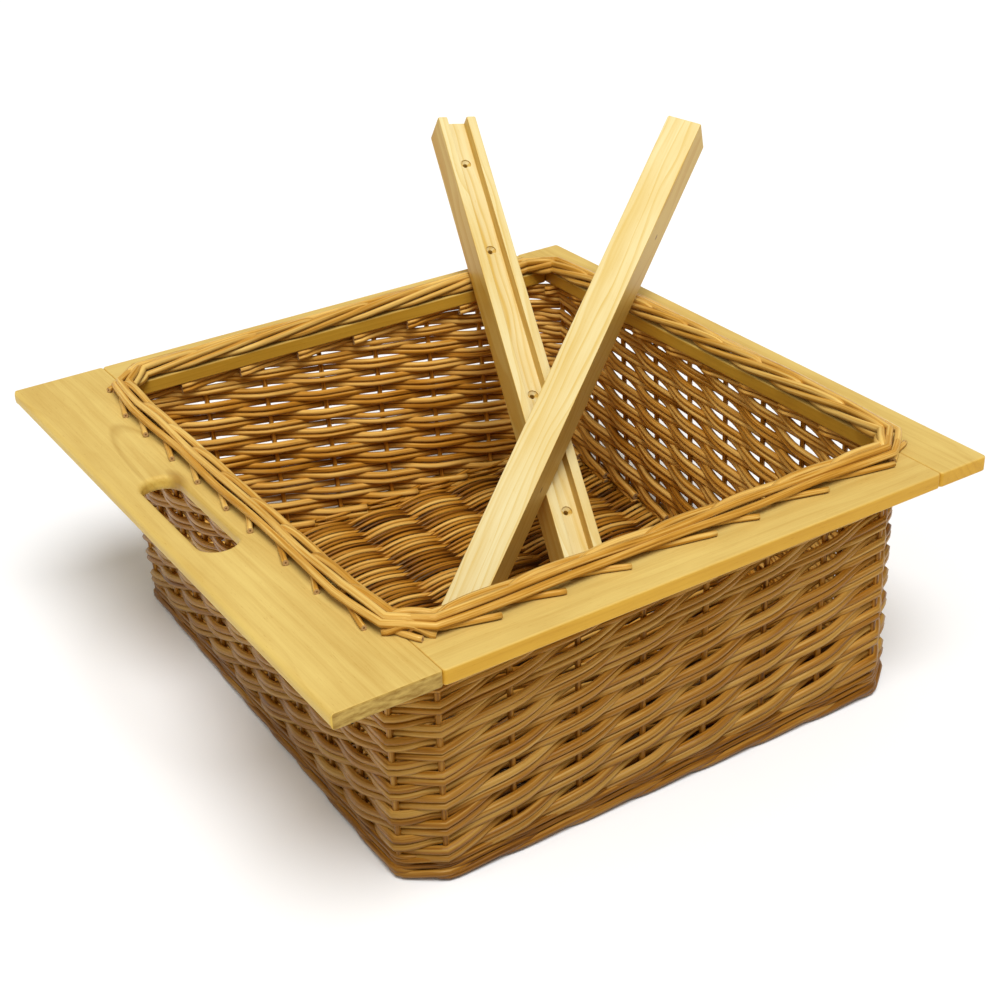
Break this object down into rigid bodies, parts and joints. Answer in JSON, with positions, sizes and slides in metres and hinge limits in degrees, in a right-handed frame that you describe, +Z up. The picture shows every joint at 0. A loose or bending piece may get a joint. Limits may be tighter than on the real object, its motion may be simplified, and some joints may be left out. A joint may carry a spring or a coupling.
{
  "type": "pull-out kitchen basket",
  "caption": "Square woven willow basket hung in a flat pine frame with a finger slot, with its loose pair of grooved pine runners lying crossed inside.",
  "frame": {"origin": "under the middle of the basket's base, on the surface it stands on, at the middle base stick's underside", "axes": "+Z up, -Y towards the board with the handle slot, +X to the right seen from the handle"},
  "size_m": [0.5958, 0.5815, 0.331],
  "materials": {
    "frame_pine": "clear satin lacquer on golden pine",
    "runner_pine": "planed pale pine",
    "willow": "buff willow rods, lightly lacquered"
  },
  "bodies": {
    "basket": {"front_board": "frame_pine", "back_board": "frame_pine", "left_rail": "frame_pine", "right_rail": "frame_pine", "front_left_dowel_1": "frame_pine", "front_left_dowel_2": "frame_pine", "front_right_dowel_1": "frame_pine", "front_right_dowel_2": "frame_pine", "back_right_dowel_1": "frame_pine", "back_right_dowel_2": "frame_pine", "back_left_dowel_1": "frame_pine", "back_left_dowel_2": "frame_pine", "back_foot_rod": "willow", "back_wale": "willow", "back_weave": "willow", "back_border": "willow", "left_foot_rod": "willow", "left_wale": "willow", "left_weave": "willow", "left_border": "willow", "front_foot_rod": "willow", "front_wale": "willow", "front_weave": "willow", "front_border": "willow", "right_foot_rod": "willow", "right_wale": "willow", "right_weave": "willow", "right_border": "willow", "front_left_stake_1": "willow", "front_left_stake_2": "willow", "front_left_weave": "willow", "front_right_stake_1": "willow", "front_right_stake_2": "willow", "front_right_weave": "willow", "back_right_stake_1": "willow", "back_right_stake_2": "willow", "back_right_weave": "willow", "back_left_stake_1": "willow", "back_left_stake_2": "willow", "back_left_weave": "willow", "base_weave": "willow", "base_stick_1": "willow", "base_stick_2": "willow", "base_stick_3": "willow", "base_stick_4": "willow", "base_stick_5": "willow", "base_stick_6": "willow", "base_stick_7": "willow"},
    "left_runner": {"left_runner": "runner_pine"},
    "right_runner": {"right_runner": "runner_pine"}
  },
  "joints": [
    {"name": "left_runner_lift", "type": "slide", "parent": "basket", "child": "left_runner", "axis": [-0.7784, 0.2448, 0.5781], "range_m": [0, 0.46]},
    {"name": "right_runner_lift", "type": "slide", "parent": "basket", "child": "right_runner", "axis": [-0.3296, 0.7208, 0.6097], "range_m": [0, 0.46]}
  ]
}
